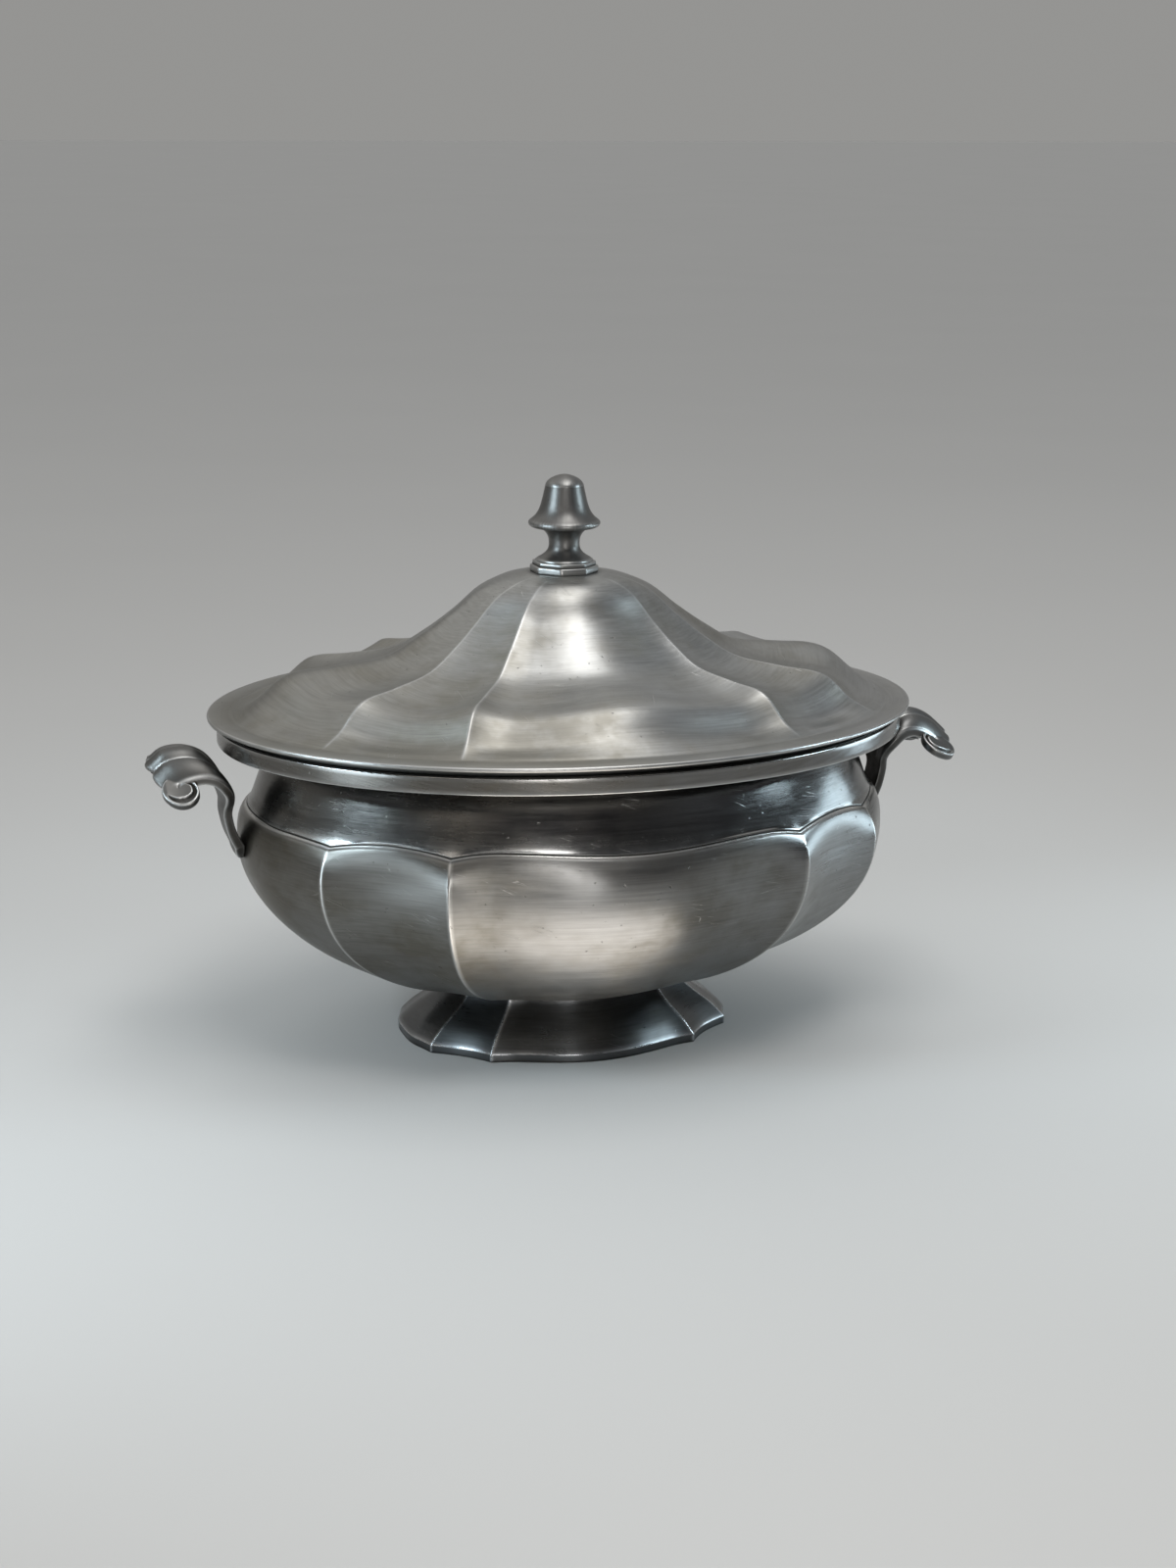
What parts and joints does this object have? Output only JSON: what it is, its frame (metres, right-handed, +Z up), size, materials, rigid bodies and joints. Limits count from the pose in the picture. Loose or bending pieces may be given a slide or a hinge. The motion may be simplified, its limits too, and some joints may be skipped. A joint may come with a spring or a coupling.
{
  "type": "soup tureen",
  "caption": "Oval footed metal soup tureen with a panelled bowl, flat rim band, lift-off domed lid with a turned knob, and scrolled shell handles at both ends.",
  "frame": {"origin": "centre of the foot's underside, on the surface it stands on", "axes": "+Z up, +X along the length towards the right handle, -Y towards the front panel"},
  "size_m": [0.3572, 0.236, 0.239],
  "materials": {
    "pewter": "aged satin, finely brushed",
    "cast_pewter": "aged satin, cast and turned",
    "stud_brass": "dull"
  },
  "bodies": {
    "base": {"foot": "pewter", "lobed_bowl": "pewter", "neck_collar": "pewter", "rim_band": "pewter", "left_handle": "cast_pewter", "right_handle": "cast_pewter"},
    "lid": {"lid": "pewter", "lid_bezel": "pewter", "finial_base": "cast_pewter", "finial_knob": "cast_pewter", "finial_stud": "stud_brass", "finial_washer": "stud_brass", "finial_nut": "stud_brass"}
  },
  "joints": [
    {"name": "lid_lift", "type": "slide", "parent": "base", "child": "lid", "axis": [0, 0, 1], "range_m": [0, 0.15]}
  ]
}
